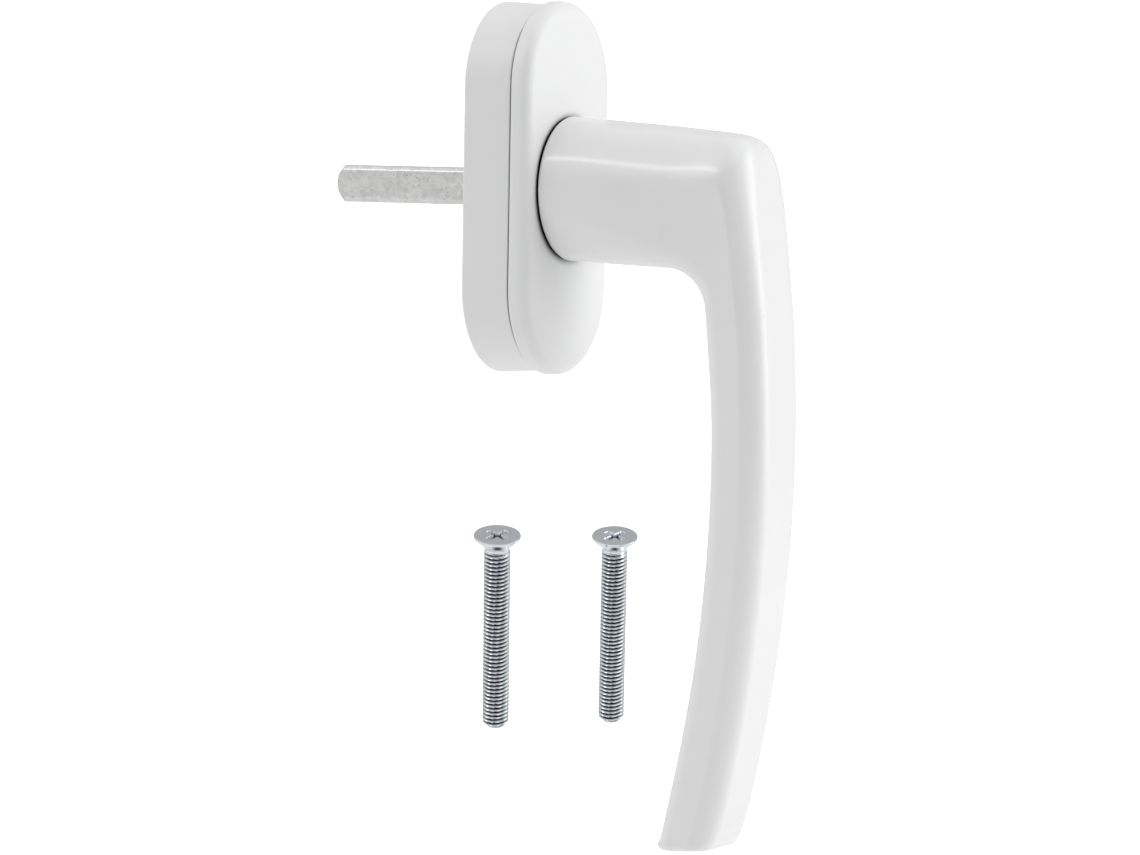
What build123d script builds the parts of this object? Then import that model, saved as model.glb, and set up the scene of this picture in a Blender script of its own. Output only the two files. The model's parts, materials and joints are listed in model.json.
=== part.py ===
from build123d import *
import os
from math import atan, cos, degrees, radians, sin

# Tilt-and-turn window handle on an oval rosette, with its square spindle and two fixing screws.
#
# Frame: the origin is where the spindle's axis meets the sash face. +X is to the right as seen
# from the room, +Y goes into the sash along the spindle, and +Z is up. Depths are measured from
# the sash face towards the room, so a depth d stands at y = -d. The grip hangs down: shut.

# ---------------------------------------------------------------- driving dimensions, mm
screw_spacing = 43.0          # between the two fixing screws, up the sash
spindle_square = 7.0          # across the spindle's flats
spindle_reach = 35.0          # from the sash face to the spindle's tip
lug_radius = 5.0              # round lugs behind the rosette, in the sash's 10 mm holes
lug_length = 2.2

rosette_radius = 16.3         # round ends of the rosette base, at the sash face
rosette_height = 69.8         # over both round ends
base_depth = 9.7
base_draft = 0.6              # how much each side of the base leans in over its depth
base_edge_radius = 0.5
boss_radius = 13.0            # round boss that the cover cap turns on
boss_height = 2.5

cap_radius = 16.35
cap_depth = 4.0               # from the cap's rim to its front face
cap_wall = 1.6
cap_edge_radius = 2.2
seam = 0.3                    # gap between cap and base, and between neck and cap

pocket_room = 0.5             # beside the washers, in the hollow behind the base
pocket_height = 26.0
pocket_depth = 6.0
plate_thickness = 0.8
plate_margin = 0.6            # of the plate, past its screws' heads
plate_overlap = 1.2           # of the plate, past the springs' ends
plate_corner = 3.0
plate_screw_radius = 0.9
plate_screw_head_radius = 1.7
plate_screw_length = 5.0
plate_screw_wall = 0.4        # of the base, between these screws and the pocket
plate_screw_z = 11.5

journal_radius = 8.0          # the grip's bearing
hub_step = 1.6                # shoulder between the journal and the neck, past the journal
hub_length = 1.6
journal_end = 3.5             # depth of the journal's rear end
bush_wall = 1.35
flange_overhang = 1.0
ring_width = 1.9              # retaining ring, from inner to outer radius
ring_thickness = 0.8
ring_gap = 5.0
ring_depth = 3.9              # depth of the ring's rear face
groove_cut = 0.6              # how deep the ring's groove is cut
washer_thickness = 0.6        # thrust washer on the pocket's floor
dished_thickness = 0.3
washer_overlap = 0.5          # of the thrust washer, past the bush

cam_square = 13.0             # detent cam, across its flats
cam_lift = 1.75               # how far its corners press a spring aside
cam_depth = 1.1               # depth of its rear face
cam_thickness = 2.2
spring_thickness = 0.5        # the two straight leaf springs
spring_width = 2.0
spring_socket = 1.3           # how far each end sits in its slot
spring_depth = 1.2            # depth of their rear edge
pin_radius = 1.25             # cross pin that holds the spindle in the journal
pin_inset = 0.3               # of each end of the pin, below the journal's surface

neck_radius = 13.5
elbow_inner_radius = 8.0
elbow_centre_depth = 38.3     # middle of the elbow's inside round
elbow_centre_height = -22.1
grip_depth = 53.45            # depth of the grip's middle line at its furthest point
grip_furthest_height = -47.0
grip_bow_radius = 280.0       # the grip's middle line bows back to the sash on this radius
grip_thickness = 11.1
elbow_width = 20.0
grip_width_top = 19.0
grip_width_tip = 17.2
grip_edge_radius = 3.0        # of the side towards the sash
grip_front_edge_radius = 4.6
grip_tip_height = -121.7      # lower end of the middle line
grip_tip_slope = -3.0         # degrees that the end face falls towards the room
tip_edge_radius = 1.2
socket_depth = 18.5           # how far the spindle goes into the neck
socket_floor = 0.5            # free space past the spindle's inner end

screw_length = 40.0           # M5 countersunk fixing screws, over all
screw_radius = 2.5
screw_head_radius = 4.4
screw_rim = 0.4
recess_width = 1.1
recess_span = 4.8
recess_depth = 2.1
screw_tip_radius = 1.9
screw_left_at = (-15.2, -8.0, -64.4)     # middles of the heads' faces
screw_right_at = (22.8, -13.0, -66.9)
screw_lean = 21.0             # degrees that the screws lean out of plumb
screw_lean_bearing = 27.85    # degrees from -X towards -Y, the way the heads lean

# ---------------------------------------------------------------- clearances
running_fit = 0.05            # a shaft in its bore, on the radius
cap_fit = 0.1                 # the cap on the base's boss, on the radius
seat_fit = 0.05               # a fixed piece in its seat
screw_hole_fit = 0.15         # the fixing screws in the rosette, on the radius
cap_lift = 0.2                # behind the cap's front wall, over the boss
free_gap = 0.3                # between pieces that pass each other

# ---------------------------------------------------------------- worked out
half_straight = rosette_height / 2 - rosette_radius
cap_rim_depth = base_depth + seam
cap_face_depth = cap_rim_depth + cap_depth
neck_depth = cap_face_depth + seam
boss_depth = base_depth + boss_height
cap_inner_depth = max(cap_face_depth - cap_wall, boss_depth + cap_lift)
journal_start = neck_depth - hub_length
flange_depth = journal_start - running_fit
bush_outer_radius = journal_radius + running_fit + bush_wall
flange_radius = bush_outer_radius + flange_overhang
hub_radius = journal_radius + hub_step
groove_radius = journal_radius - groove_cut
washer_outer_radius = bush_outer_radius + washer_overlap
pin_length = 2 * (journal_radius - pin_inset)
pin_depth = (pocket_depth + flange_depth) / 2
cam_corner_radius = cam_square / 2 + cam_lift
pocket_width = 2 * (washer_outer_radius + pocket_room)
spring_length = pocket_height + 2 * spring_socket
plate_screw_x = pocket_width / 2 + plate_screw_wall + plate_screw_radius
plate_width = 2 * (plate_screw_x + plate_screw_head_radius + plate_margin)
plate_height = spring_length + 2 * plate_overlap
draft_angle = degrees(atan(base_draft / base_depth))
spring_x = cam_square / 2 + seat_fit + spring_thickness / 2
screw_head_height = screw_head_radius - screw_radius
screw_hole_radius = screw_radius + screw_hole_fit
countersink_radius = screw_head_radius + screw_hole_fit
fixing_points = [(0, screw_spacing / 2), (0, -screw_spacing / 2)]
plate_screw_points = [(x, z) for x in (-plate_screw_x, plate_screw_x)
                      for z in (-plate_screw_z, plate_screw_z)]


def at(depth):
    """The plane parallel to the sash at this depth. Local x is +X, local y is +Z, and extruding
    from it goes towards the room."""
    return Plane.XZ.offset(depth)


os.makedirs("parts", exist_ok=True)

# ---------------------------------------------------------------- rosette base
# A thick drafted plate: boss in front, lugs behind, and a pocket in the back for the detent.
with BuildPart() as rosette_base:
    with BuildSketch(at(0)):
        SlotCenterToCenter(2 * half_straight, 2 * rosette_radius, rotation=90)
    extrude(amount=base_depth, taper=draft_angle)
    fillet(rosette_base.faces().filter_by(Axis.Y).edges(), base_edge_radius)
    with BuildSketch(at(base_depth)):
        Circle(boss_radius)
    extrude(amount=boss_height)
    with BuildSketch(at(0)):
        with Locations(*fixing_points):
            Circle(lug_radius)
    extrude(amount=-lug_length)
    with BuildSketch(at(0)):
        Rectangle(pocket_width, pocket_height)
    extrude(amount=pocket_depth, mode=Mode.SUBTRACT)
    with BuildSketch(at(0)):
        RectangleRounded(plate_width + 2 * seat_fit, plate_height + 2 * seat_fit, plate_corner)
    extrude(amount=plate_thickness, mode=Mode.SUBTRACT)
    with BuildSketch(at(0)):
        with Locations((-spring_x, 0), (spring_x, 0)):
            Rectangle(spring_thickness + 2 * seat_fit, spring_length + 2 * seat_fit)
    extrude(amount=spring_depth + spring_width + seat_fit, mode=Mode.SUBTRACT)
    with BuildSketch(at(0)):
        Circle(bush_outer_radius + seat_fit)
    extrude(amount=boss_depth, mode=Mode.SUBTRACT)
    with BuildSketch(at(0)):
        with Locations(*plate_screw_points):
            Circle(plate_screw_radius + seat_fit)
    extrude(amount=plate_screw_length + free_gap, mode=Mode.SUBTRACT)
    with Locations(at(base_depth)):
        with Locations(*fixing_points):
            CounterSinkHole(screw_hole_radius, countersink_radius, counter_sink_angle=90)
rosette_base.part.label = "rosette_base"
export_step(rosette_base.part, "parts/rosette_base.step")

# ---------------------------------------------------------------- bearing bush
# Flanged sleeve pressed into the base. The grip's journal runs in it.
with BuildPart() as bearing_bush:
    with BuildSketch(at(pocket_depth)):
        Circle(bush_outer_radius)
    extrude(amount=boss_depth - pocket_depth)
    with BuildSketch(at(boss_depth)):
        Circle(flange_radius)
    extrude(amount=flange_depth - boss_depth)
    with BuildSketch(at(pocket_depth)):
        Circle(journal_radius + running_fit)
    extrude(amount=flange_depth - pocket_depth, mode=Mode.SUBTRACT)
bearing_bush.part.label = "bearing_bush"
export_step(bearing_bush.part, "parts/bearing_bush.step")

# ---------------------------------------------------------------- cover cap
# A shallow shell over the base. Its collar turns on the boss, so that it swings aside from the
# fixing screws.
with BuildPart() as cover_cap:
    with BuildSketch(at(cap_rim_depth)):
        SlotCenterToCenter(2 * half_straight, 2 * cap_radius, rotation=90)
    extrude(amount=cap_face_depth - cap_rim_depth)
    fillet(cover_cap.faces().sort_by(Axis.Y)[0].edges(), cap_edge_radius)
    with BuildSketch(at(cap_rim_depth)):
        SlotCenterToCenter(2 * half_straight, 2 * (cap_radius - cap_wall), rotation=90)
        Circle(cap_radius, mode=Mode.SUBTRACT)
        Circle(boss_radius + cap_fit)
    extrude(amount=cap_inner_depth - cap_rim_depth, mode=Mode.SUBTRACT)
    with BuildSketch(at(cap_rim_depth)):
        Circle(flange_radius + free_gap)
    extrude(amount=cap_face_depth - cap_rim_depth, mode=Mode.SUBTRACT)
cover_cap.part.label = "cover_cap"
export_step(cover_cap.part, "parts/cover_cap.step")

# ---------------------------------------------------------------- grip
# Each section of the grip is a rounded rectangle that spans the side view from an inner point to
# an outer point, each a pair of depth and height. The neck runs straight from its round end to
# the elbow. From there the sections fan round the elbow's inside, then follow the bow of the grip
# down to its tip. A section is its inner point, outer point, width, inner corner radius and outer
# corner radius.


def elbow_section(turn, reach, width, inner_corner, outer_corner):
    """A section of the elbow at this many degrees round its inside, out to this reach."""
    away = (sin(radians(turn)), cos(radians(turn)))
    inner = (elbow_centre_depth + elbow_inner_radius * away[0],
             elbow_centre_height + elbow_inner_radius * away[1])
    outer = (elbow_centre_depth + reach * away[0], elbow_centre_height + reach * away[1])
    return inner, outer, width, inner_corner, outer_corner


def grip_section(height):
    """A section of the bowed grip whose middle stands at this height."""
    drop = grip_furthest_height - height
    away = (cos(drop / grip_bow_radius), -sin(drop / grip_bow_radius))
    middle_depth = grip_depth - grip_bow_radius * (1 - cos(drop / grip_bow_radius))
    share = (elbow_centre_height - height) / (elbow_centre_height - grip_tip_height)
    width = grip_width_top + (grip_width_tip - grip_width_top) * min(1.0, 1.6 * share)
    half = grip_thickness / 2
    inner = (middle_depth - half * away[0], height - half * away[1])
    outer = (middle_depth + half * away[0], height + half * away[1])
    return inner, outer, width, grip_edge_radius, grip_front_edge_radius


tip_slope = radians(grip_tip_slope)
tip_inner, tip_outer, *_ = grip_section(grip_tip_height)
tip_plane = Plane(origin=(0, -(tip_inner[0] + tip_outer[0]) / 2, grip_tip_height),
                  x_dir=(1, 0, 0), z_dir=(0, -sin(tip_slope), cos(tip_slope)))
bow_top = elbow_centre_height - 12.0
bow_end = grip_tip_height - 4.0
bow_steps = 6
neck_section = ((neck_depth, -neck_radius), (neck_depth, neck_radius), 2 * neck_radius,
                neck_radius, neck_radius)
elbow_start = elbow_section(0, 33.9, 22.0, 4.5, 8.5)
lower_sections = [
    elbow_start,
    elbow_section(7, 33.95, 21.6, 4.2, 8.3),
    elbow_section(14, 34.3, 21.2, 4.0, 8.0),
    elbow_section(27, 33.1, 20.7, 3.6, 7.0),
    elbow_section(38, 28.2, 20.3, 3.4, 6.4),
    elbow_section(52, 23.1, elbow_width, 3.2, 5.8),
    elbow_section(70, 20.2, 19.6, grip_edge_radius, 5.2),
    elbow_section(90, 19.6, grip_width_top + 0.3, grip_edge_radius, grip_front_edge_radius),
    *(grip_section(bow_top + (bow_end - bow_top) * step / bow_steps)
      for step in range(bow_steps + 1)),
]

with BuildPart() as grip:
    for stretch in ((neck_section, elbow_start), lower_sections):
        for inner, outer, width, inner_corner, outer_corner in stretch:
            inner_point = Vector(0, -inner[0], inner[1])
            outer_point = Vector(0, -outer[0], outer[1])
            outward = outer_point - inner_point
            section_plane = Plane(origin=(inner_point + outer_point) * 0.5, x_dir=(1, 0, 0),
                                  z_dir=Vector(1, 0, 0).cross(outward))
            most = min(width, outward.length) / 2 - 0.05
            with BuildSketch(section_plane) as outline:
                Rectangle(width, outward.length)
                fillet(outline.vertices().group_by(Axis.Y)[-1], min(outer_corner, most))
                fillet(outline.vertices().group_by(Axis.Y)[0], min(inner_corner, most))
        loft(ruled=stretch is not lower_sections)
    split(bisect_by=tip_plane, keep=Keep.TOP)
    fillet(grip.faces().sort_by(Axis.Z)[0].edges(), tip_edge_radius)
    with BuildSketch(at(neck_depth)):
        Circle(hub_radius)
    extrude(amount=-hub_length)
    with BuildSketch(at(journal_start)):
        Circle(journal_radius)
    extrude(amount=journal_end - journal_start)
    with BuildSketch(at(ring_depth - seat_fit)):
        Circle(journal_radius + 1)
        Circle(groove_radius, mode=Mode.SUBTRACT)
    extrude(amount=ring_thickness + 2 * seat_fit, mode=Mode.SUBTRACT)
    with BuildSketch(at(journal_end)):
        Rectangle(spindle_square + 2 * seat_fit, spindle_square + 2 * seat_fit)
    extrude(amount=neck_depth + socket_depth + socket_floor - journal_end, mode=Mode.SUBTRACT)
    with BuildSketch(Plane.YZ.offset(-journal_radius)):
        with Locations((-pin_depth, 0)):
            Circle(pin_radius)
    extrude(amount=2 * journal_radius, mode=Mode.SUBTRACT)
grip.part.label = "grip"
export_step(grip.part, "parts/grip.step")

# ---------------------------------------------------------------- spindle
# Square bar with bevelled edges, turned to a blunt cone at its tip and drilled for the pin.
spindle_inner_end = neck_depth + socket_depth
spindle_edge_bevel = 0.8
spindle_tip_radius = 2.7
spindle_tip_length = 2.2
with BuildPart() as spindle:
    with BuildSketch(at(-spindle_reach)) as spindle_outline:
        Rectangle(spindle_square, spindle_square)
        chamfer(spindle_outline.vertices(), spindle_edge_bevel)
    extrude(amount=spindle_reach + spindle_inner_end)
    with BuildSketch(Plane.XY) as turned_outline:
        with BuildLine():
            Polyline((0, spindle_reach), (spindle_tip_radius, spindle_reach),
                     (spindle_square * 0.7, spindle_reach - spindle_tip_length),
                     (spindle_square * 0.7, -spindle_inner_end), (0, -spindle_inner_end),
                     close=True)
        make_face()
    revolve(axis=Axis.Y, mode=Mode.INTERSECT)
    with BuildSketch(Plane.YZ.offset(-spindle_square)):
        with Locations((-pin_depth, 0)):
            Circle(pin_radius)
    extrude(amount=2 * spindle_square, mode=Mode.SUBTRACT)
spindle.part.label = "spindle"
export_step(spindle.part, "parts/spindle.step")

# ---------------------------------------------------------------- spindle pin
# Cross pin through journal and spindle. The bush keeps it in.
with BuildPart() as spindle_pin:
    with BuildSketch(Plane.YZ.offset(-pin_length / 2)):
        with Locations((-pin_depth, 0)):
            Circle(pin_radius)
    extrude(amount=pin_length)
spindle_pin.part.label = "spindle_pin"
export_step(spindle_pin.part, "parts/spindle_pin.step")

# ---------------------------------------------------------------- thrust washer
with BuildPart() as thrust_washer:
    with BuildSketch(at(pocket_depth - washer_thickness)):
        Circle(washer_outer_radius)
        Circle(journal_radius + free_gap, mode=Mode.SUBTRACT)
    extrude(amount=washer_thickness)
thrust_washer.part.label = "thrust_washer"
export_step(thrust_washer.part, "parts/thrust_washer.step")

# ---------------------------------------------------------------- dished spring washer
# A shallow cone between the retaining ring and the thrust washer. It draws the grip's shoulder
# back against the bush.
dish_back = ring_depth + ring_thickness + seat_fit
dish_front = pocket_depth - washer_thickness - running_fit
with BuildPart() as spring_washer:
    with BuildSketch(Plane.XY):
        with BuildLine():
            Polyline((journal_radius + free_gap, -dish_back),
                     (washer_outer_radius - free_gap, -(dish_front - dished_thickness)),
                     (washer_outer_radius - free_gap, -dish_front),
                     (journal_radius + free_gap, -(dish_back + dished_thickness)),
                     close=True)
        make_face()
    revolve(axis=Axis.Y)
spring_washer.part.label = "spring_washer"
export_step(spring_washer.part, "parts/spring_washer.step")

# ---------------------------------------------------------------- retaining ring
# Open spring-steel ring in the journal's groove.
with BuildPart() as retaining_ring:
    with BuildSketch(at(ring_depth)):
        Circle(groove_radius + seat_fit + ring_width)
        Circle(groove_radius + seat_fit, mode=Mode.SUBTRACT)
        with Locations((0, -groove_radius - ring_width)):
            Rectangle(ring_gap, 3 * ring_width, mode=Mode.SUBTRACT)
    extrude(amount=ring_thickness)
retaining_ring.part.label = "retaining_ring"
export_step(retaining_ring.part, "parts/retaining_ring.step")

# ---------------------------------------------------------------- detent cam
# Square disc on the spindle. Its four flats meet the leaf springs every 90 degrees.
with BuildPart() as detent_cam:
    with BuildSketch(at(cam_depth)):
        Rectangle(cam_square, cam_square)
        Circle(cam_corner_radius, mode=Mode.INTERSECT)
        Rectangle(spindle_square + 2 * seat_fit, spindle_square + 2 * seat_fit,
                  mode=Mode.SUBTRACT)
    extrude(amount=cam_thickness)
detent_cam.part.label = "detent_cam"
export_step(detent_cam.part, "parts/detent_cam.step")

# ---------------------------------------------------------------- detent springs
# Two straight leaves with their ends in slots of the base, one on each side of the cam.
for side, spring_name in ((-1, "detent_spring_left"), (1, "detent_spring_right")):
    with BuildPart() as detent_spring:
        with BuildSketch(at(spring_depth)):
            with Locations((side * spring_x, 0)):
                Rectangle(spring_thickness, spring_length)
        extrude(amount=spring_width)
    detent_spring.part.label = spring_name
    export_step(detent_spring.part, f"parts/{spring_name}.step")

# ---------------------------------------------------------------- retaining plate
# Thin plate let into the base's back. It closes the pocket and lets the spindle through.
plate_hole_radius = spindle_square / 2 * 1.4142 + free_gap
with BuildPart() as retaining_plate:
    with BuildSketch(at(0)):
        RectangleRounded(plate_width, plate_height, plate_corner)
        Circle(plate_hole_radius, mode=Mode.SUBTRACT)
    extrude(amount=plate_thickness)
    with Locations(Plane(origin=(0, 0, 0), x_dir=(1, 0, 0), z_dir=(0, 1, 0))):
        with Locations(*plate_screw_points):
            CounterSinkHole(plate_screw_radius + seat_fit, plate_screw_head_radius + seat_fit,
                            counter_sink_angle=90)
retaining_plate.part.label = "retaining_plate"
export_step(retaining_plate.part, "parts/retaining_plate.step")

# ---------------------------------------------------------------- plate screws
# Four small countersunk screws, flush with the plate.
plate_screw_cone = plate_screw_head_radius - plate_screw_radius
with BuildPart() as plate_screws:
    for x, z in plate_screw_points:
        with BuildSketch(Plane.XY.offset(z)):
            with BuildLine():
                Polyline((x, 0), (x + plate_screw_head_radius, 0),
                         (x + plate_screw_radius, -plate_screw_cone),
                         (x + plate_screw_radius, -plate_screw_length), (x, -plate_screw_length),
                         close=True)
            make_face()
        revolve(axis=Axis((x, 0, z), (0, 1, 0)))
plate_screws.part.label = "plate_screws"
export_step(plate_screws.part, "parts/plate_screws.step")

# ---------------------------------------------------------------- fixing screws
# Two M5 countersunk screws with cross recesses, supplied loose and held below the rosette.
lean = radians(screw_lean)
bearing = radians(screw_lean_bearing)
screw_axis = Vector(-sin(lean) * cos(bearing), -sin(lean) * sin(bearing), cos(lean))
screw_across = Vector(sin(bearing), -cos(bearing), 0)
with BuildPart() as fixing_screws:
    for head_middle in (Vector(*screw_left_at), Vector(*screw_right_at)):
        lengthwise = Plane(origin=head_middle, x_dir=screw_across,
                           z_dir=screw_across.cross(screw_axis))
        with BuildSketch(lengthwise):
            with BuildLine():
                Polyline((0, 0), (screw_head_radius, 0), (screw_head_radius, -screw_rim),
                         (screw_radius, -screw_rim - screw_head_height),
                         (screw_radius, -screw_length + screw_radius - screw_tip_radius),
                         (screw_tip_radius, -screw_length), (0, -screw_length), close=True)
            make_face()
        revolve(axis=Axis(head_middle, screw_axis))
        with BuildSketch(Plane(origin=head_middle, x_dir=screw_across, z_dir=screw_axis)):
            Rectangle(recess_span, recess_width, rotation=45)
            Rectangle(recess_width, recess_span, rotation=45)
        extrude(amount=-recess_depth, mode=Mode.SUBTRACT)
fixing_screws.part.label = "fixing_screws"
export_step(fixing_screws.part, "parts/fixing_screws.step")
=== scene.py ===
import json
from math import cos, pi, radians, sin

import bmesh
import bpy
import numpy as np
from mathutils import Matrix, Vector

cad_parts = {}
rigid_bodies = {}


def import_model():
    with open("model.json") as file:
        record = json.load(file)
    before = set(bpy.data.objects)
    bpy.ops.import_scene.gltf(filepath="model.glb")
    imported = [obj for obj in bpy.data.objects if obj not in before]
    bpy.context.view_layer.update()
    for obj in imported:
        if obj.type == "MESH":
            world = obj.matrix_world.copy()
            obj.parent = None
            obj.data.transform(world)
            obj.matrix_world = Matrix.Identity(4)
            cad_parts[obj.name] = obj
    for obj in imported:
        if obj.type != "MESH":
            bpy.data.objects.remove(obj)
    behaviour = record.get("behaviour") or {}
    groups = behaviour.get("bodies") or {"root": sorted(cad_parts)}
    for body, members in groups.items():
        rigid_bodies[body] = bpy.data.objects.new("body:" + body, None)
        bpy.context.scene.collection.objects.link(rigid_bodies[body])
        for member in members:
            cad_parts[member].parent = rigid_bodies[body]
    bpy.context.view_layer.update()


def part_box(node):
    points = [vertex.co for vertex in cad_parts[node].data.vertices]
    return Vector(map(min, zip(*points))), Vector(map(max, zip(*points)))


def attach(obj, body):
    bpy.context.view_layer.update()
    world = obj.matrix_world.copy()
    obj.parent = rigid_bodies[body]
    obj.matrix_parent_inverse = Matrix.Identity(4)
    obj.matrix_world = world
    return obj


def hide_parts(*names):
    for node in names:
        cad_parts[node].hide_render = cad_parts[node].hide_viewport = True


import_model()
mm = 0.001


# ==================================================================== grip
# The lever is one casting in aluminium: a round neck that squares off into the elbow, then a flat
# bar that bows back towards the sash. It is blasted and powder coated in satin white, and its
# turned journal runs in the rosette.

def surface(name, grids, looped=False, sharp=38.0):
    """Make one mesh from grids of points in millimetres, each of rings by points round. Every ring
    closes on itself. A grid's two ends close by a fan to the middle of the end ring, or, when
    looped, its last ring joins its first. Points that coincide are merged, faces are turned
    outwards by the sign of the volume, and edges over the sharp angle are marked."""
    points, faces, count = [], [], 0
    for grid in grids:
        rings, around = grid.shape[:2]
        i = np.arange(rings if looped else rings - 1)[:, None]
        j = np.arange(around)[None, :]
        after, beside = (i + 1) % rings * around, (j + 1) % around
        i = i * around
        quads = np.stack(np.broadcast_arrays(i + j, i + beside, after + beside, after + j), -1)
        faces += (count + quads.reshape(-1, 4)).tolist()
        points.append(grid.reshape(-1, 3))
        ends = () if looped else ((0, -1), (rings - 1, 1))
        for number, (ring, way) in enumerate(ends):
            points.append(grid[ring].mean(axis=0)[None])
            rim = count + ring * around + np.stack((j[0], beside[0]), -1)[:, ::way]
            middle = np.full((around, 1), count + rings * around + number)
            faces += np.concatenate((rim, middle), axis=1).tolist()
        count += rings * around + len(ends)
    mesh = bpy.data.meshes.new(name)
    mesh.from_pydata((np.concatenate(points) * mm).tolist(), [], faces)
    shell = bmesh.new()
    shell.from_mesh(mesh)
    bmesh.ops.remove_doubles(shell, verts=shell.verts, dist=1e-7)
    if shell.calc_volume(signed=True) < 0:
        bmesh.ops.reverse_faces(shell, faces=shell.faces)
    shell.to_mesh(mesh)
    shell.free()
    mesh.polygons.foreach_set("use_smooth", [True] * len(mesh.polygons))
    mesh.set_sharp_from_angle(angle=radians(sharp))
    mesh.update()
    piece = bpy.data.objects.new(name, mesh)
    bpy.context.collection.objects.link(piece)
    return piece


def ease(value, start, end):
    """0 before start, 1 after end, and 3s^2 - 2s^3 between them."""
    s = np.clip((value - start) / (end - start), 0, 1)
    return s * s * (3 - 2 * s)


cap_low, cap_high = (corner / mm for corner in np.array(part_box("cover_cap")))
seam = 0.3                               # between the cap's face and the neck
neck_depth = -cap_low[1] + seam
neck_radius = 13.5
elbow_at = np.array((38.3, -22.1))       # depth and height of the middle of the elbow's inside
elbow_inner_radius = 8.0
neck_slope = 0.0904                      # fall of the neck's top line
front_slope = 0.115                      # lean of the elbow's front line
front_reach = 19.6                       # from the elbow's middle to its front line
top_reach = 33.92                        # from the elbow's middle to its top line
corner_sharpness = 11.0                  # the power p of the outer line's soft minimum
bow_depth, bow_height, bow_radius = 53.45, -47.0, 280.0
bar_thickness = 11.1
root_swell, swell_end = 0.25, 45         # extra half thickness below the elbow, and where it ends
tip_height = -121.7
tip_bend = 14                            # length over which the sections turn to the tip's face
tip_fall = radians(-3.0)                 # of the tip's face towards the room
neck_steps, elbow_steps, bar_steps = 40, 90, 120

# Side view, as depth and height. Neck sections are upright. In the elbow they fan out from its
# middle, with the outer line at the soft minimum (a^-p + b^-p)^(-1/p) of the reaches a and b of the
# top and front lines. On the bar they follow an arc.
neck_run = np.linspace(0, 1, neck_steps)[:-1]
inner_rise = elbow_at[1] + elbow_inner_radius + neck_radius
outer_rise = elbow_at[1] + top_reach - neck_radius
neck_inner = np.stack([neck_depth + (elbow_at[0] - neck_depth) * neck_run,
                       -neck_radius + inner_rise * neck_run], -1)
neck_outer = np.stack([neck_inner[:, 0], neck_radius + outer_rise * neck_run], -1)

fan = np.radians(np.linspace(0, 90, elbow_steps))
away = np.stack([np.sin(fan), np.cos(fan)], -1)
top = top_reach / (away[:, 1] + neck_slope * away[:, 0])
front = front_reach / (away[:, 0] + front_slope * away[:, 1])
reach = (top ** -corner_sharpness + front ** -corner_sharpness) ** (-1 / corner_sharpness)
fan_inner = elbow_at + elbow_inner_radius * away
fan_outer = elbow_at + reach[:, None] * away

height = np.linspace(elbow_at[1], tip_height, bar_steps)[1:]
below_elbow = 1 - ease(-height, -elbow_at[1], swell_end)
drop = (bow_height - height) / bow_radius
middle = np.stack([bow_depth - bow_radius * (1 - np.cos(drop)), height], -1)
near_tip = ease(-height, -tip_height - tip_bend, -tip_height)
tilt = np.maximum(drop, 0) + (tip_fall - drop[-1]) * near_tip
half = bar_thickness / 2 + root_swell * below_elbow
outward = np.stack([np.cos(tilt), -np.sin(tilt)], -1)
bar_shift = (fan_inner[-1] + fan_outer[-1]) / 2 - middle[0]
middle = middle + bar_shift * below_elbow[:, None]
bar_inner = middle - half[:, None] * outward
bar_outer = middle + half[:, None] * outward

inner_line = np.concatenate([neck_inner, fan_inner, bar_inner])
outer_line = np.concatenate([neck_outer, fan_outer, bar_outer])

# Half width and corner radii at stops along the grip: 0 to 1 is the neck, 1 to 2 the elbow and 2 to
# 3 the bar. The crease is the angle at which the outer corners meet the flanks.
travel = np.concatenate([neck_run, 1 + np.linspace(0, 1, elbow_steps),
                         2 + np.linspace(0, 1, bar_steps)[1:]])
stops = (0.0, 0.35, 1.0, 1.3, 1.6, 2.0, 2.25, 2.7, 3.0)
half_width = np.interp(travel, stops, (13.5, 12.7, 11.0, 10.5, 10.0, 9.6, 9.25, 8.65, 8.6))
inner_corner = np.interp(travel, stops, (13.4, 9.6, 4.5, 3.7, 3.2, 3.0, 3.0, 3.0, 3.0))
outer_corner = np.interp(travel, (0.0, 0.15, 0.35, 1.0, 1.15, 1.3, 1.42, 1.6, 2.0, 3.0),
                         (13.4, 12.2, 11.2, 9.8, 9.9, 7.4, 5.3, 4.6, 4.2, 4.0))
crease = np.radians(np.interp(travel, (0.0, 0.5, 1.0, 3.0), (0, 12, 24, 24)))


def smoothed(values, times):
    """Repeated three-point averages along a line of values, with its two ends kept."""
    for _ in range(times):
        values = np.concatenate([values[:1], (values[:-2] + 2 * values[1:-1] + values[2:]) / 4,
                                 values[-1:]])
    return values


smoothing = 60
half_width, inner_corner, outer_corner, crease = (
    smoothed(values, smoothing) for values in (half_width, inner_corner, outer_corner, crease))
corner_points = 16
flat_points = 10


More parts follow.
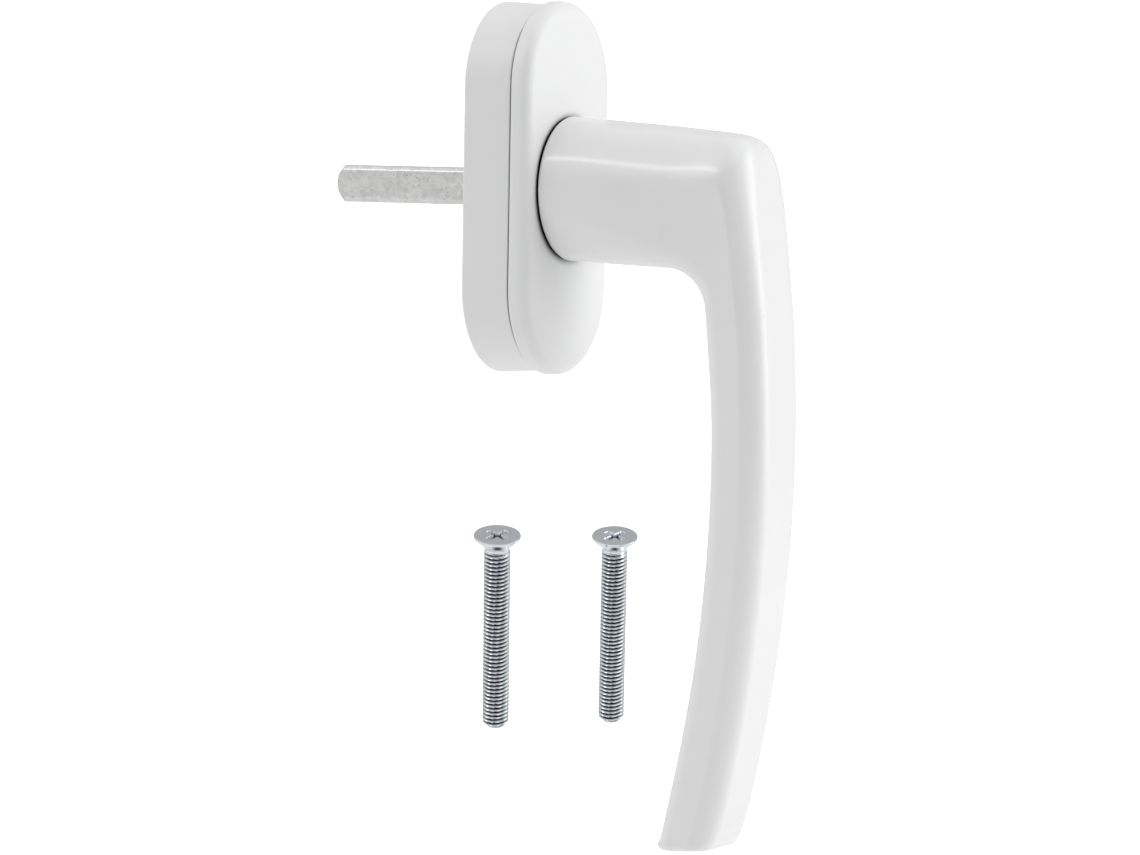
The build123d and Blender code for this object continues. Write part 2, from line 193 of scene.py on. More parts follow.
def rounded_rectangle(half_wide, half_high, low_corner, high_corner, crease):
    """Rings of a rectangle with round corners, one ring for each entry: half sizes less the
    corner radius, plus the radius turned through a quarter circle at each corner, with the flats
    divided evenly between. A high corner meets its flank at the crease angle c: it is the arc from
    c to a quarter turn, stretched to (cos t / cos c, (sin t - sin c) / (1 - sin c)). Local x is
    across and local y is from inner to outer."""
    quarter = np.linspace(0, 1, corner_points)
    parts = []
    for sx, sy in ((1, 1), (-1, 1), (-1, -1), (1, -1)):
        corner = (high_corner if sy > 0 else low_corner)[:, None]
        c = crease[:, None] if sy > 0 else np.zeros_like(crease)[:, None]
        t = c + (pi / 2 - c) * (quarter if sx == sy else quarter[::-1])
        x = sx * (half_wide[:, None] - corner + corner * np.cos(t) / np.cos(c))
        y = sy * (half_high[:, None] - corner + corner * (np.sin(t) - np.sin(c))
                  / (1 - np.sin(c)))
        parts.append(np.stack([x, y], -1))
    rings = []
    share = np.linspace(0, 1, flat_points + 2)[1:-1][None, :, None]
    for a, b in zip(parts, parts[1:] + parts[:1]):
        rings += [a, a[:, -1:] * (1 - share) + b[:, :1] * share]
    return np.concatenate(rings, axis=1)


def grip_rings(inner, outer, wide, low_corner, high_corner, crease, inset=0.0, ahead=0.0):
    """Sections of the grip in space: the ring's local x along X, and its local y from the inner
    to the outer line. inset shrinks a ring evenly and ahead moves it along the grip."""
    span = outer - inner
    length = np.linalg.norm(span, axis=1)
    along = span / length[:, None]
    middle = (inner + outer) / 2
    onward = np.stack([along[:, 1], -along[:, 0]], -1)
    middle = middle + onward * ahead
    ring = rounded_rectangle(wide - inset, length / 2 - inset, low_corner - inset,
                             high_corner - inset, crease)
    depth = middle[:, :1] + along[:, :1] * ring[..., 1]
    high = middle[:, 1:] + along[:, 1:] * ring[..., 1]
    return np.stack([ring[..., 0], -depth, high], -1)


sliver = 0.01                            # least flat left between two corners
most = np.minimum(np.linalg.norm(outer_line - inner_line, axis=1) / 2, half_width) - sliver
inner_corner = np.minimum(inner_corner, most)
outer_corner = np.minimum(outer_corner, most)
body_rings = grip_rings(inner_line, outer_line, half_width, inner_corner, outer_corner, crease)

# The tip's edge is a quarter round, and its face is drawn in to the middle. The last rings of the
# body lie inside the round and are left out.
tip_round = 1.5
face_insets = (1.9, 2.6)
face_shares = np.array((0.8, 0.55, 0.3))[:, None, None]
quarter = np.linspace(0, pi / 2, 9)[1:]
tip_insets = np.concatenate([tip_round * (1 - np.cos(quarter)), face_insets])
tip_ahead = np.concatenate([tip_round * np.sin(quarter), (tip_round, tip_round)]) - tip_round
tip_start = grip_rings(*(np.repeat(line[-1:], len(tip_insets), axis=0) for line in (
    inner_line, outer_line, half_width, inner_corner, outer_corner, crease)),
    inset=tip_insets, ahead=tip_ahead[:, None])
tip_middle = tip_start[-1].mean(axis=0)
tip_face = tip_middle + (tip_start[-1] - tip_middle) * face_shares
keep_rings = len(body_rings) - 3

# The round end of the neck turns in to the hub, the journal with its ring groove, and the square
# socket for the spindle.
neck_ring = body_rings[0] * (1, 0, 1)
neck_unit = neck_ring / np.linalg.norm(neck_ring, axis=1)[:, None]
square_ring = neck_unit / np.abs(neck_unit).max(axis=1)[:, None]
spindle_half = 3.55                      # half the square socket
socket_length = 19.0                     # how far the socket runs into the neck
hub_radius, journal_radius, groove_radius = 9.6, 8.0, 7.4
hub_length = 1.6
journal_start, journal_end = neck_depth - hub_length, 3.5
journal_bevel = 0.3
groove_end, groove_start = 3.85, 4.75
neck_bevel, neck_edge = 0.5, 0.15
turned = [(neck_depth + socket_length, spindle_half, True), (journal_end, spindle_half, True),
          (journal_end, journal_radius - journal_bevel, False),
          (journal_end + journal_bevel, journal_radius, False),
          (groove_end, journal_radius, False), (groove_end, groove_radius, False),
          (groove_start, groove_radius, False), (groove_start, journal_radius, False),
          (journal_start, journal_radius, False), (journal_start, hub_radius, False),
          (neck_depth, hub_radius, False), (neck_depth, neck_radius - neck_bevel, False),
          (neck_depth + neck_edge, neck_radius - neck_edge, False)]
end_rings = np.stack([(square_ring if square else neck_unit) * size + (0, -depth, 0)
                      for depth, size, square in turned])
body_rings[0] += (0, -neck_bevel, 0)
grip_grid = np.concatenate([end_rings, body_rings[:keep_rings], tip_start, tip_face])
grip = surface("grip_casting", [grip_grid])
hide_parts("grip")
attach(grip, "lever")


def add(tree, kind, values=(), **settings):
    """Add a node to a tree. values pairs its inputs with plain values or with other sockets."""
    made = tree.nodes.new(kind)
    for key, value in settings.items():
        setattr(made, key, value)
    for socket, value in values:
        if isinstance(value, bpy.types.NodeSocket):
            tree.links.new(value, made.inputs[socket])
        else:
            made.inputs[socket].default_value = value
    return made


def new_group(name, inputs, outputs):
    """A node group with number inputs, given with their first values, and number outputs."""
    group = bpy.data.node_groups.new(name, "ShaderNodeTree")
    for socket, value in inputs:
        made = group.interface.new_socket(socket, in_out="INPUT", socket_type="NodeSocketFloat")
        made.default_value = value
    for socket in outputs:
        group.interface.new_socket(socket, in_out="OUTPUT", socket_type="NodeSocketFloat")
    return group, group.nodes.new("NodeGroupInput"), group.nodes.new("NodeGroupOutput")


def new_material(name, roughness, metallic=0.0):
    """A Principled material with its plain values set on the shader's own sockets. Returns the
    material, its node tree and the shader."""
    material = bpy.data.materials.new(name)
    material.use_nodes = True
    shader = material.node_tree.nodes["Principled BSDF"]
    shader.inputs["Roughness"].default_value = roughness
    shader.inputs["Metallic"].default_value = metallic
    return material, material.node_tree, shader


def tint(tree, shader, factor, low, high):
    """Colour the shader between two colours by a factor, and return the socket of that colour."""
    ramp = add(tree, "ShaderNodeValToRGB", [("Fac", factor)])
    ramp.color_ramp.elements[0].color = (*low, 1)
    ramp.color_ramp.elements[1].color = (*high, 1)
    tree.links.new(ramp.outputs["Color"], shader.inputs["Base Color"])
    return ramp.outputs["Color"]


# Colour of painted shade, laid into seams, gaps and thread roots.
painted_shade_colour = (0.012, 0.012, 0.013, 1)


def blend(tree, factor, first, second):
    """A colour between two, each a socket or a plain colour. Returns its socket."""
    return add(tree, "ShaderNodeMix", [(0, factor), (6, first), (7, second)],
               data_type="RGBA").outputs[2]


def paint_gap_shade(tree, shader, colour, reach):
    """Paint shade into a colour where the surface is closed in within this reach in metres, as in a
    gap.
    """
    gap = add(tree, "ShaderNodeGroup", node_tree=painted_gap_shade)
    gap.inputs["Reach"].default_value = reach
    shaded = blend(tree, gap.outputs["Open"], painted_shade_colour, colour)
    tree.links.new(shaded, shader.inputs["Base Color"])


def rough(tree, shader, factor, low, high):
    """Vary the shader's roughness between two values by a factor."""
    span = add(tree, "ShaderNodeMapRange", [("Value", factor), ("To Min", low), ("To Max", high)])
    tree.links.new(span.outputs["Result"], shader.inputs["Roughness"])


def relief(tree, shader, height, depth):
    """Bump the shader by a height of 0 to 1 over this depth in metres."""
    bump = add(tree, "ShaderNodeBump", [("Height", height), ("Distance", depth), ("Strength", 1)])
    tree.links.new(bump.outputs["Normal"], shader.inputs["Normal"])


# Orange peel: soft swells and a finer grain on them, with broad faint patches. Height is
# 0.7 swell + 0.3 grain.
orange_peel, entry, leave = new_group("orange_peel", [("Swell Scale", 900), ("Grain Scale", 3600)],
                                      ["Height", "Patches"])
place = add(orange_peel, "ShaderNodeTexCoord").outputs["Object"]
swell = add(orange_peel, "ShaderNodeTexNoise",
            [("Vector", place), ("Scale", entry.outputs["Swell Scale"]), ("Detail", 1.5)])
grain = add(orange_peel, "ShaderNodeTexNoise",
            [("Vector", place), ("Scale", entry.outputs["Grain Scale"]), ("Detail", 3)])
patches = add(orange_peel, "ShaderNodeTexNoise",
              [("Vector", place), ("Scale", 45), ("Detail", 3), ("Roughness", 0.6)])
mixed = add(orange_peel, "ShaderNodeMix", [(0, 0.3), (2, swell.outputs["Fac"]),
                                           (3, grain.outputs["Fac"])])
orange_peel.links.new(mixed.outputs[0], leave.inputs["Height"])
orange_peel.links.new(patches.outputs["Fac"], leave.inputs["Patches"])

# Painted gap shade: how open the surface is within a short reach, stretched so that a seam is
# painted fully dark. Its output darkens base colours as painted shade.
painted_gap_shade, entry, leave = new_group("painted_gap_shade", [("Reach", 0.001)], ["Open"])
closed = add(painted_gap_shade, "ShaderNodeAmbientOcclusion", [("Distance", entry.outputs["Reach"])],
             samples=12)
stretched = add(painted_gap_shade, "ShaderNodeMapRange", [("Value", closed.outputs["AO"]),
                                                   ("From Min", 0.38), ("From Max", 0.68)])
painted_gap_shade.links.new(stretched.outputs["Result"], leave.inputs["Open"])

powder_coat, tree, shader = new_material("powder_coat", 0.34)
peel = add(tree, "ShaderNodeGroup", node_tree=orange_peel)
peel.inputs["Swell Scale"].default_value = 1100
peel.inputs["Grain Scale"].default_value = 4200
white = tint(tree, shader, peel.outputs["Patches"], (0.865, 0.868, 0.87), (0.895, 0.895, 0.893))
# Painted shade: the coat is darkened where it is closed in, as in the seam at the neck's end.
paint_gap_shade(tree, shader, white, 0.0006)
rough(tree, shader, peel.outputs["Patches"], 0.30, 0.39)
relief(tree, shader, peel.outputs["Height"], 0.000012)
shader.inputs["Coat Weight"].default_value = 0.45
shader.inputs["Coat Roughness"].default_value = 0.12
grip.data.materials.append(powder_coat)

# ==================================================================== cover cap
# A shallow moulded shell in white plastic over the rosette's screws. It is clipped on and its
# collar turns on the base's boss, so that the cap swings aside.

cap_radius = 16.35
end_distance = 18.6                      # of the round ends' middles, from the spindle
edge_round = 2.2
cap_wall = 1.6
hole_radius = 10.7
collar_inner, collar_outer = 13.1, 16.35
rim_depth, face_depth, ceiling_depth = -cap_high[1], -cap_low[1], 12.4
hole_edge, edge_relief = 0.2, 0.06       # of the round at the hole
rim_round, rim_share = 0.15, 0.3         # of the round at the rim
side_step = 0.9                          # height of one more ring up the side
blend_width = 0.8                        # over which the hollow closes where wall and collar meet
turn = np.linspace(0, 2 * pi, 289)[:-1]


def round_ended(radius):
    """Distance from the spindle to an upright round-ended outline, at each turn: radius over
    |cos| on the flanks, and past them h |sin| + sqrt(radius^2 - h^2 cos^2)."""
    c, s = np.abs(np.cos(turn)), np.abs(np.sin(turn))
    flank = radius / np.maximum(c, 1e-9)
    end = end_distance * s + np.sqrt(np.maximum(radius ** 2 - (end_distance * c) ** 2, 0))
    return np.where(radius * s <= end_distance * c, flank, end)


def turned_ring(distance, depth):
    """A ring at this distance from the spindle and this depth, each a number or one per turn."""
    one = np.ones_like(turn)
    return np.stack([distance * np.cos(turn), -depth * one, distance * np.sin(turn)], -1)


face_inner, face_outer = hole_radius + hole_edge, round_ended(cap_radius - edge_round)
rings = [turned_ring(hole_radius, face_depth - hole_edge),
         turned_ring(hole_radius + edge_relief, face_depth - edge_relief),
         turned_ring(face_inner, face_depth)]
rings += [turned_ring(face_inner * (1 - t) + face_outer * t, face_depth)
          for t in np.linspace(0, 1, 10)[1:]]
rings += [turned_ring(round_ended(cap_radius - edge_round * (1 - sin(a))),
                      face_depth - edge_round * (1 - cos(a)))
          for a in np.linspace(0, pi / 2, 15)[1:]]
rim_relief = rim_share * rim_round
rings += [turned_ring(round_ended(cap_radius), rim_depth + side_step),
          turned_ring(round_ended(cap_radius), rim_depth + rim_round),
          turned_ring(round_ended(cap_radius - rim_relief), rim_depth + rim_relief),
          turned_ring(round_ended(cap_radius - rim_round), rim_depth)]
wall_line = round_ended(cap_radius - cap_wall)
collar_line = np.minimum(collar_outer, wall_line)
apart = ease(wall_line - collar_line, 0.0, blend_width)
hollow = ceiling_depth - (ceiling_depth - rim_depth) * (1 - apart)
rings += [turned_ring(wall_line, rim_depth), turned_ring(wall_line, hollow),
          turned_ring(collar_line, hollow), turned_ring(collar_line, rim_depth),
          turned_ring(collar_inner, rim_depth), turned_ring(collar_inner, ceiling_depth),
          turned_ring(hole_radius, ceiling_depth)]
cap = surface("cap_shell", [np.array(rings)], looped=True)
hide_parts("cover_cap")
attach(cap, "cap")

white_plastic, tree, shader = new_material("white_plastic", 0.42)
peel = add(tree, "ShaderNodeGroup", node_tree=orange_peel)
peel.inputs["Swell Scale"].default_value = 2600
peel.inputs["Grain Scale"].default_value = 8000
white = tint(tree, shader, peel.outputs["Patches"], (0.855, 0.858, 0.86), (0.885, 0.886, 0.885))
# Painted shade: the plastic is darkened where it is closed in, as in the seam between cap and base
# and round the neck.
paint_gap_shade(tree, shader, white, 0.003)
rough(tree, shader, peel.outputs["Patches"], 0.38, 0.46)
relief(tree, shader, peel.outputs["Height"], 0.000008)
shader.inputs["Subsurface Weight"].default_value = 0.05
shader.inputs["Subsurface Radius"].default_value = (0.001, 0.001, 0.001)
cap.data.materials.append(white_plastic)

# ==================================================================== rosette base
# One injection moulding in the same white plastic: a thick drafted plate with a boss in front, two
# round lugs behind and a pocket for the detent. It keeps its CAD mesh.


def refinish(node, material):
    """Put a finish on a carried-over node, in every slot it has."""
    for piece in bpy.data.objects:
        if piece.type == "MESH" and piece.name.split(".")[0] == node:
            piece.data.materials.clear()
            piece.data.materials.append(material)


refinish("rosette_base", white_plastic)

# ==================================================================== spindle
# Drawn 7 mm square steel bar with bevelled edges, sawn, turned to a blunt cone at its tip and
# barrel zinc plated, which leaves it mottled. A cross pin holds it in the grip's journal.

flat_half, bevel_sum = 3.5, 6.2          # half across the flats, and x + z along a bevel
spindle_low, spindle_high = np.array(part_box("spindle"))[:, 1] / mm
tip_radius, cone_radius, cone_length = 2.7, 4.9, 2.2
past_bar = 9.0                           # a cone radius that leaves the bar as it is
saw_edge, saw_radius = 0.12, 4.25        # the eased edge at the sawn end
edge_softness = 70.0
turn = np.linspace(0, 2 * pi, 177)[:-1]
c, s = np.abs(np.cos(turn)), np.abs(np.sin(turn))
flat_line, bevel_line = flat_half / np.maximum(c, s), bevel_sum / (c + s)
# The bar's outline is the soft minimum (a^-p + b^-p)^(-1/p) of its flats and bevels, and the tip is
# the lesser of that outline and a cone.
bar_line = (flat_line ** -edge_softness + bevel_line ** -edge_softness) ** (-1 / edge_softness)
reach_in = np.concatenate([[spindle_low, spindle_low + saw_edge], np.linspace(-30, 32, 32),
                           np.linspace(32.3, spindle_high - saw_edge, 30)])
cone_start = spindle_high - cone_length
cone = np.interp(reach_in, (cone_start, spindle_high), (cone_radius, tip_radius))
cone = np.where(reach_in < cone_start, past_bar, cone)
cone[0] = saw_radius
size = np.minimum(bar_line[None, :], cone[:, None])
tip = np.array([(spindle_high - 0.05, tip_radius - 0.08), (spindle_high, tip_radius - 0.22),
                (spindle_high, 1.6), (spindle_high, 0.7)])
reach_in = np.concatenate([reach_in, tip[:, 0]])
size = np.concatenate([size, np.minimum(tip[:, 1:], bar_line[None, :])])
grid = np.stack([size * np.cos(turn), np.broadcast_to(reach_in[:, None], size.shape),
                 size * np.sin(turn)], -1)
spindle = surface("spindle_bar", [grid], sharp=20.0)
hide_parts("spindle")
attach(spindle, "lever")

# Zinc bloom: flat crystals of a tone each, blurred by noise, with bright and dark specks, over
# cloudy streaks along the bar. Tone is 0.4 crystals + 0.6 streaks. Height follows the crystals.
zinc_bloom, entry, leave = new_group("zinc_bloom", [("Crystal Scale", 900), ("Speck Scale", 2600)],
                                     ["Tone", "Bright Specks", "Dark Specks", "Height"])
place = add(zinc_bloom, "ShaderNodeTexCoord").outputs["Object"]
stir = add(zinc_bloom, "ShaderNodeTexNoise", [("Vector", place), ("Scale", 700), ("Detail", 2)])
moved = add(zinc_bloom, "ShaderNodeMix", [("Factor", 0.0012), (4, place),
                                          (5, stir.outputs["Color"])], data_type="VECTOR")
crystals = add(zinc_bloom, "ShaderNodeTexVoronoi",
               [("Vector", moved.outputs[1]), ("Scale", entry.outputs["Crystal Scale"])])
grey = add(zinc_bloom, "ShaderNodeRGBToBW", [("Color", crystals.outputs["Color"])])
drawn = add(zinc_bloom, "ShaderNodeMapping", [("Vector", place), ("Scale", (1.0, 0.3, 1.0))])
cloud = add(zinc_bloom, "ShaderNodeTexNoise",
            [("Vector", drawn.outputs["Vector"]), ("Scale", 700), ("Detail", 5),
             ("Roughness", 0.7)])
tone = add(zinc_bloom, "ShaderNodeMix", [(0, 0.6), (2, grey.outputs["Val"]),
                                         (3, cloud.outputs["Fac"])])
specks = add(zinc_bloom, "ShaderNodeTexNoise",
             [("Vector", place), ("Scale", entry.outputs["Speck Scale"]), ("Detail", 2)])
bright = add(zinc_bloom, "ShaderNodeMapRange", [("Value", specks.outputs["Fac"]),
                                                ("From Min", 0.69), ("From Max", 0.74)])
dark = add(zinc_bloom, "ShaderNodeMapRange", [("Value", specks.outputs["Fac"]),
                                              ("From Min", 0.30), ("From Max", 0.25)])
for socket, source in (("Tone", tone.outputs[0]), ("Bright Specks", bright.outputs["Result"]),
                       ("Dark Specks", dark.outputs["Result"]), ("Height", grey.outputs["Val"])):
    zinc_bloom.links.new(source, leave.inputs[socket])

bright_speck, dark_speck = (0.95, 0.95, 0.95, 1), (0.16, 0.15, 0.15, 1)


def plated(name, crystal_scale, speck_scale, low, high, smooth, dull, depth, shade_reach):
    """A zinc-plated steel: tone between two colours, specks over it, roughness by the tone, and
    painted shade where it is closed in, as in the roots of a thread."""
    material, tree, shader = new_material(name, (smooth + dull) / 2, metallic=1.0)
    bloom = add(tree, "ShaderNodeGroup", node_tree=zinc_bloom)
    bloom.inputs["Crystal Scale"].default_value = crystal_scale
    bloom.inputs["Speck Scale"].default_value = speck_scale
    base = tint(tree, shader, bloom.outputs["Tone"], low, high)
    lit = blend(tree, bloom.outputs["Bright Specks"], base, bright_speck)
    pitted = blend(tree, bloom.outputs["Dark Specks"], lit, dark_speck)
    # Painted shade in closed-in places such as the roots of a thread.
    paint_gap_shade(tree, shader, pitted, shade_reach)
    rough(tree, shader, bloom.outputs["Tone"], smooth, dull)
    relief(tree, shader, bloom.outputs["Height"], depth)
    return material


spindle_steel = plated("spindle_steel", 1300, 2400, (0.50, 0.50, 0.495), (0.92, 0.92, 0.915),
                       0.30, 0.52, 0.00001, 0.0004)
spindle.data.materials.append(spindle_steel)

# ==================================================================== fixing screws
# Two M5 x 40 countersunk machine screws with cross recesses, rolled and blue passivated. They come
# loose with the handle, so they stand beside it.


def threaded_screw(middle, axis, across, sizes):
    """A countersunk screw as one grid of rings by turns, from the bottom of its recess, over the
    head and down the shank. The head's face sinks by depth(1 - 0.9 r / span) where either arm of
    the cross covers it. The thread is r = minor + (radius - minor) tri(s / pitch + turn / 2 pi),
    with s the way down. It fades in below the head, and the last millimetre is a cone."""
    length, radius, head, rim, minor, pitch, arm, span, depth, around, per_pitch = sizes
    recess_wall, recess_taper = 0.32, 0.9    # share of an arm that slopes, and fall per span
    crest_rise, root_sink = 1.25, 0.1        # steeper than a plain triangle, with flats left
    fade_length, point_length, rolled_share = 1.2, 1.0, 0.3
    turn = np.linspace(0, 2 * pi, around + 1)[:-1]
    face = np.concatenate([np.linspace(0.04, span * 0.56, 34), [head - 0.35, head - 0.12]])
    a = face[:, None] * np.cos(turn + pi / 4)
    b = face[:, None] * np.sin(turn + pi / 4)
    inside = np.maximum(np.minimum(arm / 2 - np.abs(a), span / 2 - np.abs(b)),
                        np.minimum(arm / 2 - np.abs(b), span / 2 - np.abs(a)))
    sunk = depth * ease(inside, 0.0, arm * recess_wall) * (1 - recess_taper * face[:, None] / span)
    down = [sunk]
    out = [np.broadcast_to(face[:, None], sunk.shape)]
    cone = head - radius
    edge = [(0.03, head - 0.03), (0.12, head), (rim, head), (rim + 0.06, head - 0.04)]
    edge += [(rim + cone * t, head - cone * t) for t in (0.12, 0.3, 0.6, 0.9)]
    edge += [(rim + cone + 0.1, radius - 0.12)]
    edge = np.array(edge)
    down.append(np.broadcast_to(edge[:, :1], (len(edge), around)))
    out.append(np.broadcast_to(edge[:, 1:], (len(edge), around)))
    start, finish = rim + cone + 0.2, length - 0.05
    s = np.linspace(start, finish, int((finish - start) / pitch * per_pitch))[:, None]
    phase = (s / pitch + turn[None, :] / (2 * pi)) % 1
    ridge = np.clip(crest_rise * (1 - np.abs(2 * phase - 1)) - root_sink, 0, 1)
    bare = radius - rolled_share * (radius - minor)
    fade = ease(s, start, start + fade_length)
    thread = bare + (minor + (radius - minor) * ridge - bare) * fade
    past = s - (length - point_length)
    point = np.where(past > 0, np.maximum(radius - past, minor - 0.25), radius)
    thread = np.minimum(thread, point)
    down.append(np.broadcast_to(s, thread.shape))
    out.append(thread)
    end = np.array([(length, minor - 0.35), (length, minor * 0.5), (length, 0.1)])
    down.append(np.broadcast_to(end[:, :1], (3, around)))
    out.append(np.broadcast_to(end[:, 1:], (3, around)))
    down, out = np.concatenate(down), np.concatenate(out)
    side = np.cross(axis, across)
    return (np.array(middle) - down[..., None] * axis
            + out[..., None] * (np.cos(turn)[:, None] * across + np.sin(turn)[:, None] * side))


lean, bearing = radians(21.0), radians(27.85)
leaning = np.array((-sin(lean) * cos(bearing), -sin(lean) * sin(bearing), cos(lean)))
crosswise = np.array((sin(bearing), -cos(bearing), 0.0))
# Length, shank and head radii, height of the head's rim, root radius, pitch, the recess's arm, span
# and depth, then points round and rings to a turn of thread.
m5_sizes = (40.0, 2.5, 4.4, 0.4, 1.9, 0.8, 1.1, 4.8, 2.1, 64, 12)
screw_heads = ((-15.2, -8.0, -64.4), (22.8, -13.0, -66.9))
fixing_screws = surface("fixing_screw_pair", [
    threaded_screw(middle, leaning, crosswise, m5_sizes) for middle in screw_heads], sharp=30.0)
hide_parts("fixing_screws")
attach(fixing_screws, "rosette")
screw_steel = plated("screw_steel", 300, 9000, (0.70, 0.73, 0.76), (0.80, 0.83, 0.86),
                     0.10, 0.20, 0.000001, 0.0009)
fixing_screws.data.materials.append(screw_steel)

# ==================================================================== back of the rosette
# A pressed plate let into the base and four small screws close the detent pocket. Both are cut
# from zinc-plated stock, like the cam and the thrust washer behind them.

plate_head = 1.7                         # radius of a plate screw's head
plate_sizes = (5.0, 0.9, plate_head, 0.06, 0.72, 0.5, 0.45, 1.9, 0.7, 40, 6)
plate_x, _, plate_z = np.array(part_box("plate_screws"))[1] / mm - plate_head
head_axis, recess_axis = np.array((0.0, 1.0, 0.0)), np.array((1.0, 0.0, 0.0))
plate_screws = surface("plate_screw_set", [
    threaded_screw((x, 0.0, z), head_axis, recess_axis, plate_sizes)
    for x in (-plate_x, plate_x) for z in (-plate_z, plate_z)], sharp=30.0)
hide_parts("plate_screws")
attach(plate_screws, "rosette")
zinc_steel = plated("zinc_steel", 700, 2400, (0.52, 0.52, 0.50), (0.72, 0.71, 0.68),
                    0.24, 0.42, 0.000004, 0.0004)
plate_screws.data.materials.append(zinc_steel)
for node in ("retaining_plate", "detent_cam", "thrust_washer"):
    refinish(node, zinc_steel)

# ==================================================================== bearing bush
# Flanged sleeve turned from natural acetal and pressed into the base. Fine turning lines run round
# it, and it is slightly waxy.

acetal, tree, shader = new_material("acetal", 0.4)
place = add(tree, "ShaderNodeTexCoord").outputs["Object"]
lines = add(tree, "ShaderNodeTexWave", [("Vector", place), ("Scale", 1500), ("Distortion", 0.6),
                                        ("Detail", 1)],
            wave_type="RINGS", rings_direction="Y")
peel = add(tree, "ShaderNodeGroup", node_tree=orange_peel)
tint(tree, shader, peel.outputs["Patches"], (0.80, 0.79, 0.75), (0.84, 0.83, 0.79))
rough(tree, shader, lines.outputs["Fac"], 0.34, 0.44)
relief(tree, shader, lines.outputs["Fac"], 0.000006)
refinish("bearing_bush", acetal)

# ==================================================================== springs, ring and pin
# Hardened spring steel, oil black: two leaf springs, the dished washer, the open retaining ring and
# the cross pin. Fine rolling lines run along them.

spring_steel, tree, shader = new_material("spring_steel", 0.35, metallic=1.0)
place = add(tree, "ShaderNodeTexCoord").outputs["Object"]
drawn = add(tree, "ShaderNodeMapping", [("Vector", place), ("Scale", (3000, 3000, 60))])
streaks = add(tree, "ShaderNodeTexNoise", [("Vector", drawn.outputs["Vector"]), ("Scale", 1.0),
                                           ("Detail", 3)])
tint(tree, shader, streaks.outputs["Fac"], (0.09, 0.085, 0.08), (0.24, 0.23, 0.22))
rough(tree, shader, streaks.outputs["Fac"], 0.26, 0.46)
relief(tree, shader, streaks.outputs["Fac"], 0.000004)
for node in ("detent_spring_left", "detent_spring_right", "spring_washer", "retaining_ring",
             "spindle_pin"):
    refinish(node, spring_steel)

# ==================================================================== light, floor and camera
camera_back = Vector((-0.8826, -0.4657, 0.0640))
camera_right = Vector((0.4667, -0.8844, 0.0))
camera_up = camera_back.cross(camera_right)
roll = radians(0.96)
right = camera_right * cos(roll) + camera_up * sin(roll)
up = -camera_right * sin(roll) + camera_up * cos(roll)
camera_data = bpy.data.cameras.new("camera")
camera_data.sensor_width = 36
camera_data.lens = 150.8
camera_data.clip_end = 20
camera = bpy.data.objects.new("camera", camera_data)
bpy.context.collection.objects.link(camera)
place = Matrix((right, up, camera_back)).transposed().to_4x4()
place.translation = Vector((-0.7916, -0.4326, 0.0126))
camera.matrix_world = place
bpy.context.scene.camera = camera

# Paper that runs flat under the object and sweeps up behind it: pairs of run and rise in metres.
floor_height = -0.175
sweep_start, sweep_radius, half_across = 1.2, 0.8, 3
sweep = np.linspace(0.1, pi / 2, 16)
run = np.concatenate([[(-1.6, 0), (sweep_start, 0)],
                      np.stack([sweep_start + sweep_radius * np.sin(sweep),
                                sweep_radius * (1 - np.cos(sweep))], -1),
                      [(sweep_start + sweep_radius, 3.0)]])
away_from_camera = -np.array((camera_back.x, camera_back.y, 0)) / camera_back.xy.length
outwards = away_from_camera * run[:, None, :1]
upwards = np.array((0, 0, 1)) * (floor_height + run[:, None, 1:])
sideways = np.array(camera_right) * np.array((-half_across, half_across))[None, :, None]
sheet = outwards + upwards + sideways
mesh = bpy.data.meshes.new("floor")
faces = [(2 * i, 2 * i + 1, 2 * i + 3, 2 * i + 2) for i in range(len(run) - 1)]
mesh.from_pydata(sheet.reshape(-1, 3).tolist(), [], faces)
mesh.polygons.foreach_set("use_smooth", [True] * len(mesh.polygons))
floor = bpy.data.objects.new("floor", mesh)
bpy.context.collection.objects.link(floor)
paper, tree, shader = new_material("backdrop_paper", 0.9)
shader.inputs["Base Color"].default_value = (0.85, 0.85, 0.85, 1)
shader.inputs["Emission Color"].default_value = (1, 1, 1, 1)
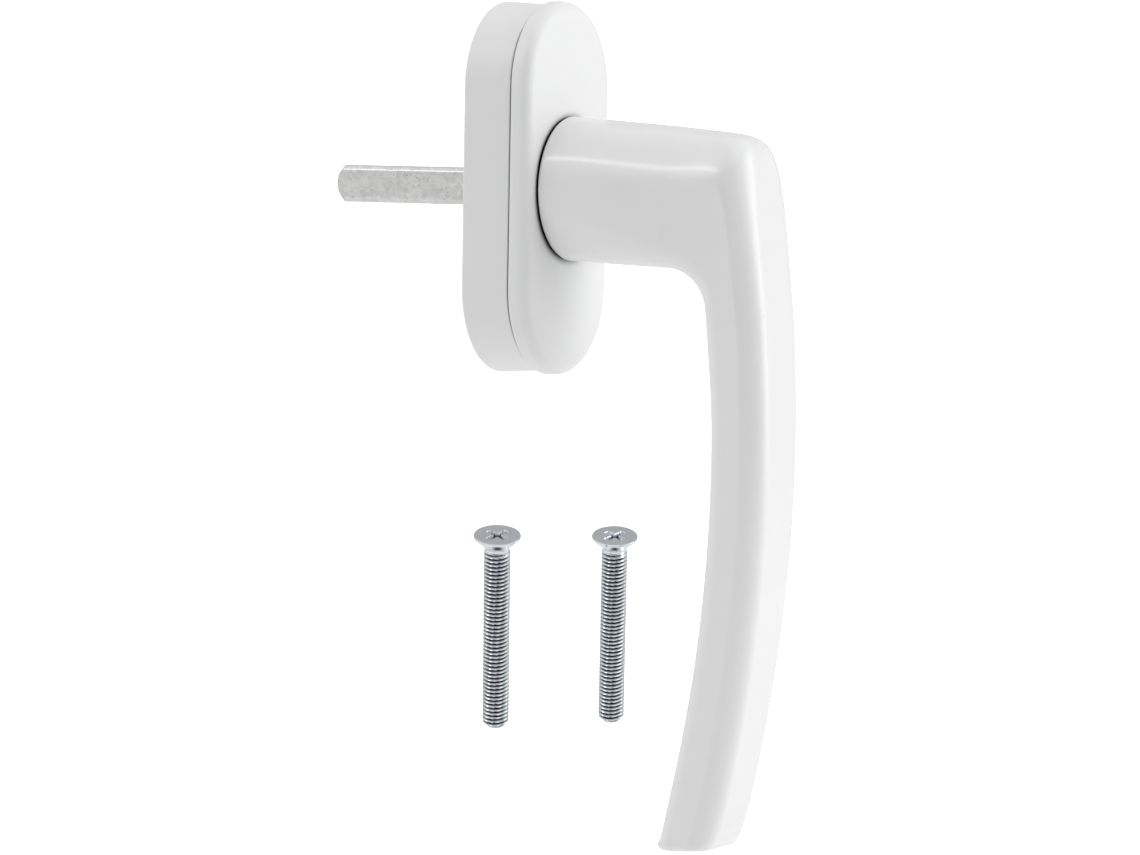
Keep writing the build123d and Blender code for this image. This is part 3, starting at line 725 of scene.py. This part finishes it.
seen = add(tree, "ShaderNodeLightPath").outputs["Is Camera Ray"]
shown = add(tree, "ShaderNodeMapRange", [("Value", seen), ("To Min", 0.08), ("To Max", 0.75)])
tree.links.new(shown.outputs["Result"], shader.inputs["Emission Strength"])
mesh.materials.append(paper)

bpy.context.scene.view_settings.view_transform = "Standard"

world = bpy.data.worlds.new("studio")
bpy.context.scene.world = world
world.use_nodes = True
sky = world.node_tree
sky.nodes["Background"].inputs["Color"].default_value = (1, 1, 1, 1)
# An even white tent with a dark round opening, soft at its rim: the cosine to the opening's middle
# is mapped from the tent's brightness to the opening's. Seen directly, the surroundings are plain
# white.
direction = add(sky, "ShaderNodeTexCoord").outputs["Generated"]
facing = add(sky, "ShaderNodeVectorMath", [(0, direction), (1, camera_back)],
             operation="DOT_PRODUCT")
rim_start, rim_end = cos(radians(56)), cos(radians(30))
tent = add(sky, "ShaderNodeMapRange",
           [("Value", facing.outputs["Value"]), ("From Min", rim_start), ("From Max", rim_end),
            ("To Min", 0.87), ("To Max", 0.0)], interpolation_type="SMOOTHSTEP")
seen = add(sky, "ShaderNodeLightPath").outputs["Is Camera Ray"]
shown = add(sky, "ShaderNodeMath", [(0, tent.outputs["Result"]), (1, seen)], operation="MAXIMUM")
sky.links.new(shown.outputs["Value"], sky.nodes["Background"].inputs["Strength"])


def softbox(name, place, aim, size, power):
    """A rectangular area light at a place, turned towards a point."""
    data = bpy.data.lights.new(name, "AREA")
    data.shape = "RECTANGLE"
    data.size, data.size_y = size
    data.energy = power
    light = bpy.data.objects.new(name, data)
    bpy.context.collection.objects.link(light)
    light.location = place
    light.rotation_euler = (Vector(aim) - Vector(place)).to_track_quat("-Z", "Y").to_euler()


softbox("room_side", (0.5, -1.2, 0.3), (0, -0.03, -0.04), (0.9, 1.2), 6.5)
softbox("above", (-0.2, -0.45, 1.1), (0, -0.02, -0.03), (0.9, 0.9), 1.6)
softbox("shoulder_strip", (-0.65, 0.5, 0.78), (0, -0.04, 0), (0.9, 0.1), 1.8)
